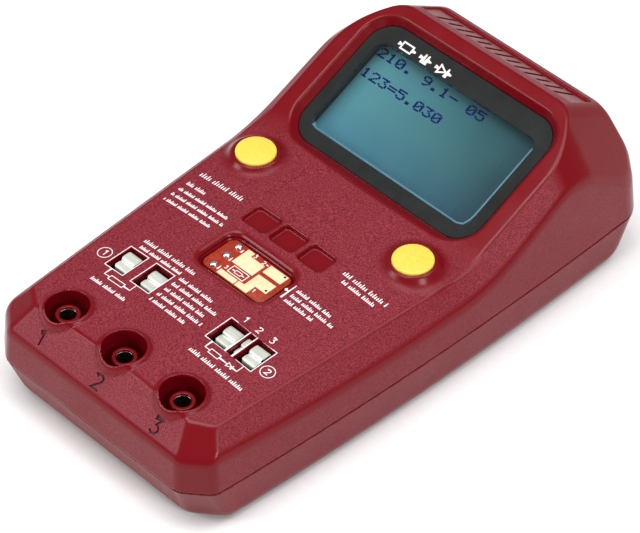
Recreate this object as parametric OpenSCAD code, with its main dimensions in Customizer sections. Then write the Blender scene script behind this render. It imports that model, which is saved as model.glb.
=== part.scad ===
// Hand-held component tester: sloping display head, two push buttons, three
// 4 mm sockets and two rows of spring-clip ports. Millimetres, +Z up, +Y to
// the display end, origin at the middle of the footprint.

/* [Case] */
// Overall length along Y
case_len = 145.3; // [144.8:0.1:146]
// Half width of the case at its widest, on the parting line
half_width = 41.37; // [41:0.05:42]
// Radius of the bowed sides seen from above
side_radius = 1084.6; // [1000:10:1200]
// Where along Y the case is widest
widest_y = 44.8; // [44:0.2:46]
// Height of the parting line between the two shells
split_z = 13; // [12.8:0.1:13.2]
// Wall thickness of both shells
wall = 2; // [1.8:0.1:2.2]
// Inward lean of the upper walls, millimetres per millimetre
upper_lean = 0.0946; // [0.09:0.001:0.1]
// Height of the flat deck over the middle of the sockets' row
deck_z = 29.11; // [28.9:0.05:29.3]
// Crown radius of the deck across its width
crown_radius = 312.5; // [300:5:330]

/* [Display] */
// Slope of the display face, degrees
tilt = 23.8; // [23.6:0.1:24]
// Half width of the display window
window_half = 29.3; // [29:0.1:29.5]
// Corner radius of the display window
window_corner = 7; // [6:0.5:8]
// Depth of the window below its rim
window_depth = 2.2; // [2:0.1:2.4]

/* [Buttons] */
// Distance of each button from the middle line
button_x = 26; // [25.8:0.1:26.2]
// Place of both buttons along Y
button_y = 5.12; // [5:0.02:5.3]
// Diameter of a button cap
cap_d = 10.06; // [9.8:0.02:10.2]

/* [Sockets] */
// Spacing of the three sockets, the standard for 4 mm plugs
jack_pitch = 19.05; // [19.05:0.01:19.06]
// Place of the sockets along Y
jack_y = -61.1; // [-61.3:0.1:-60.9]
// Bore of a socket contact
jack_bore = 4; // [4:0.01:4.05]

/* [Battery] */
// Length of the battery body, terminals left out
battery_len = 46.4; // [46:0.1:46.6]
// Width of the battery
battery_w = 26.5; // [26:0.1:26.5]
// Thickness of the battery
battery_t = 17.5; // [17:0.1:17.5]

/* [Hidden] */
$fn = 72;
// facets of the large arcs of the case
case_sides = 360;
big = 400;
eps = 0.01;
// half extents of a box that holds the whole case, and its height
far_x = 60;
far_y = 90;
far_z = 70;

// case outline, all on the parting line
half_len = case_len / 2;
side_centre = side_radius - half_width;
corner_dx = 6.8;
corner_dy = 5.45;
front_flat = 28.8;
rear_flat = 34.3;
lower_side_lean = 1.1 / split_z;
lower_end_lean = 4.4 / split_z;
foot_chamfer = 2.5;

// planes of the upper skin: a point on each and its outward normal
deck_fall = 0.545;
deck_ref_y = -40;
deck_end_y = 30;
side_cut_p = [39.66, 0, 21.24];
side_cut_n = [0.7564, -0.0405, 0.6529];
front_cut_p = [0, -71.8, 22.1];
front_cut_n = [0, -0.697, 0.717];
nose_cut_p = [27.9, -63.65, 28.1];
nose_cut_n = [0.418, -0.521, 0.744];
strip_cut_p = [35, 30, 33.5];
strip_cut_n = [0.715, -0.282, 0.640];
back_cut_p = [0, 56.3, 45.1];
back_cut_n = [0, 0.525, 0.851];
rear_cut_p = [31.5, 50.8, 42.7];
rear_cut_n = [0.708, 0.375, 0.598];

// display frame: origin on the window's surface, y up the slope, z outwards
display_org = [0, 22, 27.54];
window_low = -3.7;
window_high = 33.6;
lens_t = 1.5;
ledge_w = -3.7;
view_half = 27.3;
view_low = -1.7;
view_high = 31.6;
lcd_board_w = -7.2;
lcd_board_t = 1.6;
lcd_board_half = 30.5;
lcd_board_low = -8.5;
lcd_board_high = 35.5;
lcd_post_x = 27.5;
lcd_post_low = -6.5;
lcd_post_high = 34;
lcd_post_r = 1.7;
lcd_post_h = 8;
seat_half = 31.8;
seat_low = -8.3;
seat_high = 36.2;
seat_top = 6;
rim_chamfer = 1.2;
rim_chamfer_w = 1.1;
glass_half = 28.5;
glass_low = -3;
glass_high = 31;
glass_w = -5.2;
glass_top = -4.1;
bezel_edge = 0.8;
bezel_top = -3.75;
bezel_lip = 1.5;

// ribbon between the two boards, bent to a part circle, and its socket
ribbon_half = 8;
ribbon_mid = [14.6, 15.4];
ribbon_r = 3.2;
ribbon_t = 0.3;
ribbon_end_z = 16;
socket_front = 8.6;
socket_rear = 11.3;
socket_h = 2.4;

// lap joint between the shells
lap_h = 1.8;
lap_t = 0.95;
lap_gap = 0.1;

// main circuit board
board_z = 17;
board_t = 1.6;
board_top = board_z + board_t;
board_half = 33;
board_nose = 25.5;
board_front = -68;
board_step = -46.5;
board_rear = 12;
chip_low = [-5, -10];
chip_size = [10, 10, 1.5];
crystal_low = [-5.5, -16];
crystal_size = [11, 4.5, 3.4];
capacitor_at = [-16, -6];
capacitor_r = 3.15;
capacitor_h = 5.4;
regulator_low = [13, -8];
regulator_size = [4.6, 4.5, 1.6];
resistor_at = [-22, -50.6];
resistor_r = 1.7;
resistor_len = 9;
wire_r = 0.35;
wire_out = 3;

// a height above the deck, and the wall left round shallow recesses
over_deck = 40;
recess_wall = 1.5;

// buttons
guide_gap = 0.2;
guide_r = 6.6;
collar_low = 26.4;
collar_h = 3.3;
collar_foot_r = 8.55;
collar_top_r = 5.75;
cap_dome_r = 34;
cap_top = 30.3;
flange_r = 6.5;
flange_top = 24;
flange_t = 1.2;
plunger_r = 1.75;
plunger_low = board_top + 2.9;
switch_half = 3;
switch_h = 3.5;
switch_floor = 2.2;

// sockets
shroud_r = 6.12;
shroud_rise = 0.9;
well_r = 5.15;
tube_r = 2.985;
tube_top = 26.9;
sleeve_r = 2.4;
sleeve_top = 26.3;
sleeve_low = 6.5;
sleeve_floor = 1;

shroud_low = 19.4;

// engraved marks: numerals on the front chamfer, recess on the rear face
numeral_y = -69.2;
numeral_z = 24.63;
numeral_tilt = 44.2;
numeral_depth = 0.35;
numeral_h = 3.6;
numeral_w = 2.2;
numeral_stroke = 0.6;
rear_mark_y = 63.6;
rear_mark_z = 40.6;
rear_mark_tilt = 31.7;
rear_mark_half_x = 24.5;
rear_mark_half_y = 4.6;
rear_mark_depth = 0.6;

// spring-clip ports: [low x, high x] of each slot
port_low = -45;
port_high = -37.1;
port1_slots = [[-23.9, -18.2], [-15.2, -9.4]];
port2_slots = [[9.8, 15.65], [16.15, 17.9], [18.4, 24.1]];
clip_margin = 0.7;
clip_t = 0.4;

// surface-mount test board
smd_half = 10.5;
smd_low = -29;
smd_high = -16.9;
smd_gap = 0.5;
smd_pin_x = -7;
smd_pins_y = [-18.8, -22.7, -26.9];
smd_top = 27.3;
smd_t = 1;

// shallow finger pockets in front of the display: [low x, high x]
pockets = [[-12.7, -5], [-3.6, 3.9], [5.6, 12.9]];
pocket_low = -12.5;
pocket_high = -6.5;
pocket_floor = 27.4;

// screws: places from below
case_screws_at = [[29.5, -52], [34.5, 60]];
board_screws_at = [[30, -33], [30, -8]];
case_boss_r = 3.25;
board_boss_r = 2.75;
screw_r = 1.45;
screw_h = 12;
head_r = 2.75;
head_low = 4.8;
head_top = 7;
head_well_r = 2.95;
head_well_top = 7;
pilot_r = 1.5;
pilot_h = 9;
board_pilot_h = 7;
lcd_pilot_h = 4.5;
foot_boss_r = 4;

// posts of the lower shell that hold the board up: [x, y], mirrored
board_posts_at = [[12, -55], [14, 6]];
board_post_r = 2.5;

// battery compartment and its door
battery_x = 1.2;
battery_y = 51.25;
battery_z = 2.4;
terminal_y = 6.35;
terminal_h = 2.1;
terminal_r = 2.8;
socket_r = 3.8;
snap_t = 4.6;
header_left = -28;
header_right = -21.8;
header_front = 3.5;
header_rear = 9;
header_h = 4.8;
snap_half_y = 12.6;
snap_half_z = 6.4;
door_half = 27.8;
door_front = 34.2;
door_top = 9;
door_gap = 0.2;
rail_w = 1;
rail_z = 0.8;
rail_t = 0.8;
rail_end = 62;
box_wall = 1.5;
box_top = 21.4;
box_front = 33.8;
box_rear = 66.3;
box_back = 69.8;
box_slot_low = -27.4;
box_slot_high = -22.5;
past_case = 80;
rib_half = 9;
rib_first = 44;
rib_pitch = 2.4;
rib_w = 1.1;
rib_depth = 0.6;

// leads: hand-routed points from the battery snap to the board's header
lead_r = 0.8;
lead_sides = 8;
red_route = [
    [-25.2, 38.6, 13], [-25.2, 36.5, 13], [-25.4, 33.8, 13.2], [-25.8, 29, 13.8],
    [-26.2, 22, 14.4], [-26.2, 14, 14.5], [-26.2, 9, 14.5]];
black_route = [
    [-25.2, 38.6, 8.6], [-25.2, 36.5, 8.6], [-25, 33.8, 9.2], [-24.4, 29, 10.8],
    [-23.8, 22, 13.2], [-23.7, 14, 14.5], [-23.7, 9, 14.5]];

// colours
shell_red = [0.55, 0.12, 0.16];
shell_red_low = [0.5, 0.1, 0.14];
cap_yellow = [1, 0.82, 0.3];
metal = [0.82, 0.83, 0.8];
board_green = [0.1, 0.35, 0.2];

// ---------- helpers ----------

// everything beyond a plane given by a point and its outward normal
module beyond(p, n) {
    translate(p)
        rotate([0, acos(n[2] / norm(n)), atan2(n[1], n[0])])
            translate([-big / 2, -big / 2, 0])
                cube(big);
}

// the same, with the plane moved inwards by t
module beyond_inset(p, n, t) {
    beyond(p - t * n / norm(n), n);
}

module both_sides() {
    children();
    mirror([1, 0, 0]) children();
}

// block from its lowest to its highest corner
module block(a, b) {
    translate(a) cube(b - a);
}

// rounded plate, centred on x, from y0 to y1
module round_plate(half, y0, y1, r, z0, z1) {
    translate([0, 0, z0])
        linear_extrude(z1 - z0)
            union() {
                translate([-half + r, y0]) square([2 * half - 2 * r, y1 - y0]);
                translate([-half, y0 + r]) square([2 * half, y1 - y0 - 2 * r]);
                for (x = [-half + r, half - r])
                    for (y = [y0 + r, y1 - r])
                        translate([x, y]) circle(r);
            }
}

// places children in the display's own frame
module on_display() {
    translate(display_org) rotate([tilt, 0, 0]) children();
}

// ---------- outer form of the case ----------

module side_cones(r0, r1, z0, z1) {
    intersection_for (s = [-1, 1])
        translate([-s * side_centre, widest_y, z0])
            cylinder(r1 = r0, r2 = r1, h = z1 - z0, $fn = case_sides);
}

// cuts the two ends and four corners along planes that lean by the given slope
module trim_ends(t, z, lean, drop) {
    slope = atan(lean);
    c = cos(slope);
    s = sin(slope) * drop;
    norm_xy = [corner_dy, corner_dx] / norm([corner_dx, corner_dy]);
    beyond_inset([0, -half_len, z], [0, -c, s], t);
    beyond_inset([0, half_len, z], [0, c, s], t);
    both_sides() {
        beyond_inset([front_flat, -half_len, z], [c * norm_xy[0], -c * norm_xy[1], s], t);
        beyond_inset([rear_flat, half_len, z], [c * norm_xy[0], c * norm_xy[1], s], t);
    }
}

// leaning walls above the parting line, moved inwards by t
module upper_walls(t, z0) {
    foot_r = side_radius - t / cos(atan(upper_lean)) + upper_lean * (split_z - z0);
    difference() {
        side_cones(foot_r, foot_r - upper_lean * (far_z - z0), z0, far_z);
        trim_ends(t, split_z, upper_lean, 1);
    }
}

// flat deck with its crown and chamfered edges
module deck_skin(t) {
    difference() {
        translate([0, deck_ref_y, deck_z - crown_radius])
            rotate([-90 - deck_fall, 0, 0])
                translate([0, 0, -big / 2])
                    cylinder(r = crown_radius - t, h = big, $fn = case_sides);
        beyond_inset(front_cut_p, front_cut_n, t);
        both_sides() {
            beyond_inset(side_cut_p, side_cut_n, t);
            beyond_inset(nose_cut_p, nose_cut_n, t);
        }
    }
}

// sloping head: display face, side strips, rear face and rear corners
module head_skin(t) {
    difference() {
        block([-far_x, -far_y, 0], [far_x, far_y, far_z]);
        on_display() block([-big / 2, -big / 2, window_depth - t], [big / 2, big / 2, big / 2]);
        beyond_inset(back_cut_p, back_cut_n, t);
        both_sides() {
            beyond_inset(strip_cut_p, strip_cut_n, t);
            beyond_inset(rear_cut_p, rear_cut_n, t);
        }
    }
}

// the whole upper form, moved inwards by t, from z0 up
module top_form(t, z0 = split_z) {
    intersection() {
        upper_walls(t, z0);
        union() {
            intersection() {
                deck_skin(t);
                block([-far_x, -far_y, 0], [far_x, deck_end_y, far_z]);
            }
            head_skin(t);
        }
    }
}

// the lower form, moved inwards by t
module bottom_form(t, z1 = split_z) {
    foot_r = side_radius - lower_side_lean * split_z - t;
    side_at_chamfer = side_radius - lower_side_lean * (split_z - foot_chamfer);
    end_at_chamfer = lower_end_lean * (split_z - foot_chamfer);
    diag = 1 / sqrt(2);
    norm_xy = [corner_dy, corner_dx] / norm([corner_dx, corner_dy]) * diag;
    chamfer_r = side_at_chamfer - foot_chamfer - t / diag;
    front_mid = [front_flat, -half_len] + [-norm_xy[0], norm_xy[1]] / diag * end_at_chamfer;
    rear_mid = [rear_flat, half_len] - norm_xy / diag * end_at_chamfer;
    difference() {
        intersection() {
            side_cones(foot_r, foot_r + lower_side_lean * z1, 0, z1);
            side_cones(chamfer_r, chamfer_r + z1, 0, z1);
            block([-far_x, -far_y, t], [far_x, far_y, z1]);
        }
        trim_ends(t, split_z, lower_end_lean, -1);
        beyond_inset([0, end_at_chamfer - half_len, foot_chamfer], [0, -diag, -diag], t);
        beyond_inset([0, half_len - end_at_chamfer, foot_chamfer], [0, diag, -diag], t);
        both_sides() {
            beyond_inset([front_mid[0], front_mid[1], foot_chamfer],
                [norm_xy[0], -norm_xy[1], -diag], t);
            beyond_inset([rear_mid[0], rear_mid[1], foot_chamfer],
                [norm_xy[0], norm_xy[1], -diag], t);
        }
    }
}

// ---------- marks ----------

// engraved numerals 1 to 3 made of straight strokes, centred on the origin
module numeral(n, h, w, stroke) {
    x = w / 2 - stroke / 2;
    y = h / 2 - stroke / 2;
    if (n == 1) {
        translate([-stroke / 2, -h / 2]) square([stroke, h]);
    } else {
        for (level = [-y, 0, y])
            translate([-w / 2, level - stroke / 2]) square([w, stroke]);
        translate([w / 2 - stroke, 0]) square([stroke, h / 2]);
        if (n == 2) translate([-w / 2, -h / 2]) square([stroke, h / 2]);
        if (n == 3) translate([w / 2 - stroke, -h / 2]) square([stroke, h / 2]);
    }
}

// ---------- shells ----------

module jack_places() {
    for (i = [-1:1]) translate([i * jack_pitch, jack_y, 0]) children();
}

module button_places() {
    for (s = [-1, 1]) translate([s * button_x, button_y, 0]) children();
}

module screw_places(places) {
    for (p = places)
        for (s = [-1, 1])
            translate([s * p[0], p[1], 0]) children();
}

module lcd_post_places() {
    for (x = [-lcd_post_x, lcd_post_x])
        for (y = [lcd_post_low, lcd_post_high])
            translate([x, y, 0]) children();
}

// solid stock inside the upper shell that its details are cut from
module top_stock() {
    on_display() {
        block([-seat_half, seat_low, ledge_w], [seat_half, seat_high, seat_top]);
        lcd_post_places() translate([0, 0, lcd_board_w]) cylinder(r = lcd_post_r, h = lcd_post_h);
    }
    block([-smd_half - recess_wall, smd_low - recess_wall, smd_top - smd_t - recess_wall],
        [smd_half + recess_wall, smd_high + recess_wall, over_deck]);
    block([pockets[0][0] - recess_wall, pocket_low - recess_wall, pocket_floor - recess_wall],
        [pockets[2][1] + recess_wall, pocket_high + recess_wall, over_deck]);
    jack_places() translate([0, 0, shroud_low]) cylinder(r = shroud_r, h = over_deck - shroud_low);
    button_places() translate([0, 0, flange_top + 0.05]) cylinder(r = guide_r, h = over_deck - flange_top);
    screw_places(case_screws_at) translate([0, 0, split_z + 0.1]) cylinder(r = case_boss_r, h = 40);
    screw_places(board_screws_at) translate([0, 0, board_top]) cylinder(r = board_boss_r, h = 40);
}

// cone collar round each button, wide at the deck
module button_collar() {
    translate([0, 0, collar_low]) cylinder(r1 = collar_foot_r, r2 = collar_top_r, h = collar_h);
}

module window_cut() {
    on_display() {
        round_plate(window_half, window_low, window_high, window_corner, -lens_t, 12);
        round_plate(window_half + rim_chamfer, window_low - rim_chamfer, window_high + rim_chamfer,
            window_corner + rim_chamfer, rim_chamfer_w, 12);
        round_plate(view_half, view_low, view_high, window_corner - 2, ledge_w - 4, 1);
    }
}

module port_slot_cuts() {
    for (s = concat(port1_slots, port2_slots))
        block([s[0], port_low, board_top], [s[1], port_high, over_deck]);
}

module top_cuts() {
    window_cut();
    button_places() cylinder(r = cap_d / 2 + guide_gap, h = 60);
    jack_places() cylinder(r = well_r, h = 60);
    port_slot_cuts();
    round_plate(smd_half, smd_low, smd_high, 0.4, smd_top - smd_t, over_deck);
    for (p = pockets)
        block([p[0], pocket_low, pocket_floor], [p[1], pocket_high, over_deck]);
    for (y = smd_pins_y) translate([smd_pin_x, y, board_top]) cylinder(r = 0.7, h = over_deck - board_top);
    screw_places(case_screws_at) translate([0, 0, split_z - 1]) cylinder(r = pilot_r, h = pilot_h);
    screw_places(board_screws_at) translate([0, 0, board_top - 1]) cylinder(r = 1, h = board_pilot_h);
    on_display() lcd_post_places() translate([0, 0, lcd_board_w - 1]) cylinder(r = 0.8, h = lcd_pilot_h);
    for (i = [-1:1])
        translate([i * jack_pitch, numeral_y, numeral_z])
            rotate([numeral_tilt, 0, 0])
                translate([0, 0, -numeral_depth])
                    linear_extrude(3) numeral(i + 2, numeral_h, numeral_w, numeral_stroke);
    rear_strip_cut();
}

// long shallow recess across the rear face
module rear_strip_cut() {
    translate([0, rear_mark_y, rear_mark_z])
        rotate([-rear_mark_tilt, 0, 0])
            block([-rear_mark_half_x, -rear_mark_half_y, -rear_mark_depth],
                [rear_mark_half_x, rear_mark_half_y, 4]);
}

module top_cover() color(shell_red) {
    difference() {
        union() {
            difference() {
                top_form(0);
                top_form(wall, split_z - 1);
            }
            intersection() {
                top_form(wall / 2);
                top_stock();
            }
            button_places() button_collar();
            intersection() {
                top_form(-shroud_rise);
                jack_places() translate([0, 0, 22]) cylinder(r = shroud_r, h = 20);
            }
        }
        top_cuts();
        intersection() {
            difference() {
                top_form(wall - lap_t - lap_gap, split_z - 1);
                top_form(wall + lap_gap, split_z - 2);
            }
            block([-far_x, -far_y, split_z - 1], [far_x, far_y, split_z + lap_h + 2 * lap_gap]);
        }
    }
}

// box for the battery, moulded with the floor of the lower shell
module battery_box() {
    outer = door_half + door_gap + 0.3 + box_wall;
    difference() {
        block([-outer, box_front - box_wall, wall - 0.5], [outer, box_rear + box_wall, box_top]);
        block([box_wall - outer, box_front, 0], [outer - box_wall, box_rear, box_top - 1.2]);
        block([-door_half, box_front, 0], [door_half, past_case, door_top + 0.4]);
        block([box_slot_low, box_front - 3, 6], [box_slot_high, box_front + 1, 16]);
    }
    block([-outer, box_rear, door_top + 0.4], [outer, box_back, door_top + 1.6]);
}

module bottom_cover() color(shell_red_low) {
    difference() {
        union() {
            difference() {
                bottom_form(0);
                bottom_form(wall, split_z + 1);
            }
            intersection() {
                difference() {
                    top_form(wall - lap_t);
                    top_form(wall, split_z - 1);
                }
                block([-far_x, -far_y, split_z], [far_x, far_y, split_z + lap_h]);
            }
            intersection() {
                bottom_form(wall / 2);
                screw_places(case_screws_at) cylinder(r = foot_boss_r, h = split_z);
            }
            battery_box();
            screw_places(board_posts_at)
                translate([0, 0, wall / 2]) cylinder(r = board_post_r, h = board_z - wall / 2 - 0.05);
        }
        screw_places(case_screws_at) {
            translate([0, 0, -1]) cylinder(r = head_well_r, h = head_well_top + 1);
            translate([0, 0, -1]) cylinder(r = pilot_r + 0.2, h = 20);
        }
        door_opening();
    }
}

module door_opening() {
    block([-door_half - door_gap, door_front - door_gap, -1],
        [door_half + door_gap, past_case, door_top + door_gap]);
    block([-door_half - rail_w - door_gap, door_front + 1.6, rail_z - 0.15],
        [door_half + rail_w + door_gap, past_case, rail_z + rail_t + 0.15]);
}

// sliding door: floor panel, end wall and two rails
module battery_door() color(shell_red_low) {
    difference() {
        union() {
            intersection() {
                difference() {
                    bottom_form(0);
                    bottom_form(wall, split_z + 1);
                }
                block([-door_half, door_front, -1], [door_half, past_case, door_top]);
            }
            block([-door_half - rail_w, door_front + 2, rail_z],
                [door_half + rail_w, rail_end, rail_z + rail_t]);
        }
        for (i = [0:4])
            block([-rib_half, rib_first + rib_pitch * i, -1],
                [rib_half, rib_first + rib_pitch * i + rib_w, rib_depth]);
    }
}

// ---------- display ----------

module display_window() color([0.05, 0.05, 0.06]) {
    gap = 0.08;
    on_display()
        round_plate(window_half - gap, window_low + gap, window_high - gap, window_corner - gap, -lens_t, 0);
}

module lcd_glass() color([0.3, 0.5, 0.55]) {
    on_display() block([-glass_half, glass_low, glass_w], [glass_half, glass_high, glass_top]);
}

module lcd_backlight() color([0.85, 0.92, 0.95]) {
    on_display() block([-glass_half, glass_low, lcd_board_w], [glass_half, glass_high, glass_w]);
}

module lcd_bezel() color([0.15, 0.15, 0.16]) {
    on_display()
        difference() {
            block([-glass_half - bezel_edge, glass_low - bezel_edge, lcd_board_w],
                [glass_half + bezel_edge, glass_high + bezel_edge, bezel_top]);
            block([-glass_half, glass_low, lcd_board_w - 1], [glass_half, glass_high, glass_top]);
            block([-glass_half + bezel_lip, glass_low + bezel_lip, -5],
                [glass_half - bezel_lip, glass_high - bezel_lip, 0]);
        }
}

module lcd_board() color(board_green) {
    on_display()
        difference() {
            block([-lcd_board_half, lcd_board_low, lcd_board_w - lcd_board_t],
                [lcd_board_half, lcd_board_high, lcd_board_w]);
            lcd_post_places() translate([0, 0, -12]) cylinder(r = 1, h = 10);
        }
}

// short flat cable from the display board down to the main board
module lcd_ribbon() color([0.9, 0.9, 0.85]) {
    translate([-ribbon_half, 0, 0])
        rotate([90, 0, 90])
            linear_extrude(2 * ribbon_half)
                difference() {
                    translate(ribbon_mid) circle(ribbon_r);
                    translate(ribbon_mid) circle(ribbon_r - ribbon_t);
                    translate([5, ribbon_end_z]) square([20, 8]);
                }
}

module ribbon_socket() color([0.95, 0.95, 0.92]) {
    block([-ribbon_half - 1, socket_front, board_z - socket_h], [ribbon_half + 1, socket_rear, board_z]);
}

// ---------- main board and what is on it ----------

module main_board() color(board_green) {
    difference() {
        translate([0, 0, board_z])
            linear_extrude(board_t)
                polygon([[-board_nose, board_front], [board_nose, board_front], [board_nose, board_step],
                    [board_half, board_step], [board_half, board_rear], [-board_half, board_rear],
                    [-board_half, board_step], [-board_nose, board_step]]);
        jack_places() cylinder(r = sleeve_r + 0.05, h = 40);
        screw_places(board_screws_at) cylinder(r = 1.3, h = 40);
    }
}

module microcontroller() color([0.1, 0.1, 0.1]) {
    translate([chip_low[0], chip_low[1], board_top]) cube(chip_size);
}

module crystal() color(metal) {
    translate([crystal_low[0], crystal_low[1], board_top]) cube(crystal_size);
}

module capacitor() color([0.15, 0.2, 0.35]) {
    translate([capacitor_at[0], capacitor_at[1], board_top]) cylinder(r = capacitor_r, h = capacitor_h);
}

module regulator() color([0.1, 0.1, 0.1]) {
    translate([regulator_low[0], regulator_low[1], board_top]) cube(regulator_size);
}

// 1 W resistor that discharges a capacitor held in the first port
module discharge_resistor() color([0.55, 0.65, 0.7]) {
    lift = resistor_r + 0.2;
    translate([resistor_at[0], resistor_at[1], board_top + lift]) {
        rotate([0, 90, 0]) cylinder(r = resistor_r, h = resistor_len);
        translate([-wire_out, 0, 0]) rotate([0, 90, 0]) cylinder(r = wire_r, h = resistor_len + 2 * wire_out);
        for (x = [-wire_out, resistor_len + wire_out])
            translate([x, 0, -lift]) cylinder(r = wire_r, h = lift + wire_r);
    }
}

// ---------- buttons ----------

module button_cap() {
    translate([0, 0, flange_top - flange_t]) cylinder(r = flange_r, h = flange_t);
    intersection() {
        translate([0, 0, flange_top - eps]) cylinder(r = cap_d / 2, h = cap_top - flange_top + eps);
        translate([0, 0, cap_top - cap_dome_r]) sphere(r = cap_dome_r, $fn = 180);
    }
}

module button_left() color(cap_yellow) translate([-button_x, button_y, 0]) button_cap();
module button_right() color(cap_yellow) translate([button_x, button_y, 0]) button_cap();

module plunger() {
    translate([0, 0, plunger_low]) cylinder(r = plunger_r, h = flange_top - flange_t - plunger_low);
}

module plunger_left() color([0.2, 0.2, 0.2]) translate([-button_x, button_y, 0]) plunger();
module plunger_right() color([0.2, 0.2, 0.2]) translate([button_x, button_y, 0]) plunger();

module switch_case() {
    difference() {
        block([-switch_half, -switch_half, board_top], [switch_half, switch_half, board_top + switch_h]);
        translate([0, 0, board_top + switch_floor]) cylinder(r = plunger_r + 0.1, h = switch_h);
    }
}

module switch_left() color([0.3, 0.3, 0.32]) translate([-button_x, button_y, 0]) switch_case();
module switch_right() color([0.3, 0.3, 0.32]) translate([button_x, button_y, 0]) switch_case();

// ---------- sockets ----------

// insulating tube with a flange that closes the bottom of the well
module jack_tube(i) {
    translate([i * jack_pitch, jack_y, 0])
        difference() {
            union() {
                translate([0, 0, board_top + 0.2]) cylinder(r = well_r - 0.05, h = 1.4);
                translate([0, 0, board_top + 0.2]) cylinder(r = tube_r, h = tube_top - board_top - 0.2);
            }
            translate([0, 0, board_top]) cylinder(r = sleeve_r + 0.02, h = sleeve_top - board_top + 0.02);
            translate([0, 0, board_top]) cylinder(r = 2.2, h = 20);
        }
}

// nickel-plated sleeve, closed at its lower end
module jack_contact(i) {
    translate([i * jack_pitch, jack_y, 0])
        difference() {
            translate([0, 0, sleeve_low]) cylinder(r = sleeve_r, h = sleeve_top - sleeve_low);
            translate([0, 0, sleeve_low + sleeve_floor]) cylinder(r = jack_bore / 2, h = 30);
        }
}

module jack_tube_1() color(shell_red) jack_tube(-1);
module jack_tube_2() color(shell_red) jack_tube(0);
module jack_tube_3() color(shell_red) jack_tube(1);
module jack_contact_1() color(metal) jack_contact(-1);
module jack_contact_2() color(metal) jack_contact(0);
module jack_contact_3() color(metal) jack_contact(1);

// ---------- spring-clip ports ----------

// bent strip seen from the side: leg, high step, low step and front lip
module clip_profile() {
    step_y = -40.9;
    high_z = 27.9;
    low_z = 27.3;
    back_y = port_high - clip_margin;
    lip_y = port_low + clip_margin + 1;
    foot_z = board_top + 0.6;
    polygon([[back_y, foot_z], [back_y, high_z], [step_y, high_z], [step_y - 0.5, low_z],
        [lip_y, low_z], [lip_y, low_z - 2], [lip_y + clip_t, low_z - 2],
        [lip_y + clip_t, low_z - clip_t], [step_y - 0.3, low_z - clip_t],
        [step_y + 0.2, high_z - clip_t], [back_y - clip_t, high_z - clip_t],
        [back_y - clip_t, foot_z]]);
}

module clip(slot) {
    translate([slot[0] + clip_margin, 0, 0])
        rotate([90, 0, 90])
            linear_extrude(slot[1] - slot[0] - 2 * clip_margin)
                clip_profile();
}

// the narrow middle clip takes up less of its slot's margins
module narrow_clip(slot) {
    translate([slot[0] + 0.25, 0, 0])
        rotate([90, 0, 90])
            linear_extrude(slot[1] - slot[0] - 0.5)
                clip_profile();
}

// plastic block that the clips stand in
module port_holder(slots) {
    last = len(slots) - 1;
    difference() {
        block([slots[0][0] - 1, port_low - 1, board_top], [slots[last][1] + 1, port_high + 1, 24.4]);
        for (s = slots)
            block([s[0], port_low, board_top + 0.6], [s[1], port_high, 40]);
    }
}

module port1_holder() color([0.08, 0.08, 0.08]) port_holder(port1_slots);
module port2_holder() color([0.08, 0.08, 0.08]) port_holder(port2_slots);
module port1_clip_1() color(metal) clip(port1_slots[0]);
module port1_clip_2() color(metal) clip(port1_slots[1]);
module port2_clip_1() color(metal) clip(port2_slots[0]);
module port2_clip_2() color(metal) narrow_clip(port2_slots[1]);
module port2_clip_3() color(metal) clip(port2_slots[2]);

// ---------- surface-mount test board ----------

module smd_board() color([0.7, 0.25, 0.12]) {
    difference() {
        block([-smd_half + smd_gap, smd_low + smd_gap, smd_top - smd_t],
            [smd_half - smd_gap, smd_high - smd_gap, smd_top]);
        for (y = smd_pins_y) translate([smd_pin_x, y, 20]) cylinder(r = 0.45, h = 10);
    }
}

module smd_pins() color(metal) {
    for (y = smd_pins_y)
        translate([smd_pin_x, y, board_top]) cylinder(r = 0.4, h = smd_top + 0.3 - board_top);
}

// ---------- battery and wiring ----------

module battery() color([0.15, 0.15, 0.17]) {
    x0 = battery_x - battery_len / 2;
    block([x0, battery_y - battery_w / 2, battery_z],
        [x0 + battery_len, battery_y + battery_w / 2, battery_z + battery_t]);
    for (y = [-terminal_y, terminal_y])
        translate([x0 - terminal_h, battery_y + y, battery_z + battery_t / 2])
            rotate([0, 90, 0])
                cylinder(r = y < 0 ? socket_r : terminal_r, h = terminal_h + 0.1);
}

module battery_snap() color([0.08, 0.08, 0.08]) {
    x1 = battery_x - battery_len / 2 - 0.2;
    mid_z = battery_z + battery_t / 2;
    difference() {
        block([x1 - snap_t, battery_y - snap_half_y, mid_z - snap_half_z],
            [x1, battery_y + snap_half_y, mid_z + snap_half_z]);
        for (y = [-terminal_y, terminal_y])
            translate([x1 - terminal_h - 0.3, battery_y + y, mid_z])
                rotate([0, 90, 0])
                    cylinder(r = (y < 0 ? socket_r : terminal_r) + 0.2, h = snap_t);
    }
}

function unit(v) = v / norm(v);
function route_dir(p, i) =
    unit(p[min(i + 1, len(p) - 1)] - p[max(i - 1, 0)]);
function ring_point(p, i, a) =
    let (d = route_dir(p, i), u = unit(cross(d, [0, 0, 1])), v = cross(d, u))
    p[i] + lead_r * (cos(a) * u + sin(a) * v);

// round tube swept along a route
module lead(p) {
    n = len(p);
    m = lead_sides;
    points = [for (i = [0:n - 1]) for (k = [0:m - 1]) ring_point(p, i, 360 * k / m)];
    sides = [for (i = [0:n - 2]) for (k = [0:m - 1])
        [i * m + k, i * m + (k + 1) % m, (i + 1) * m + (k + 1) % m, (i + 1) * m + k]];
    start = [[for (k = [m - 1:-1:0]) k]];
    end = [[for (k = [0:m - 1]) (n - 1) * m + k]];
    polyhedron(points, concat(sides, start, end), convexity = 4);
}

module lead_red() color([0.8, 0.1, 0.1]) lead(red_route);
module lead_black() color([0.1, 0.1, 0.1]) lead(black_route);

module battery_header() color([0.95, 0.95, 0.92]) {
    block([header_left, header_front, board_z - header_h], [header_right, header_rear, board_z]);
}

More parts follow.
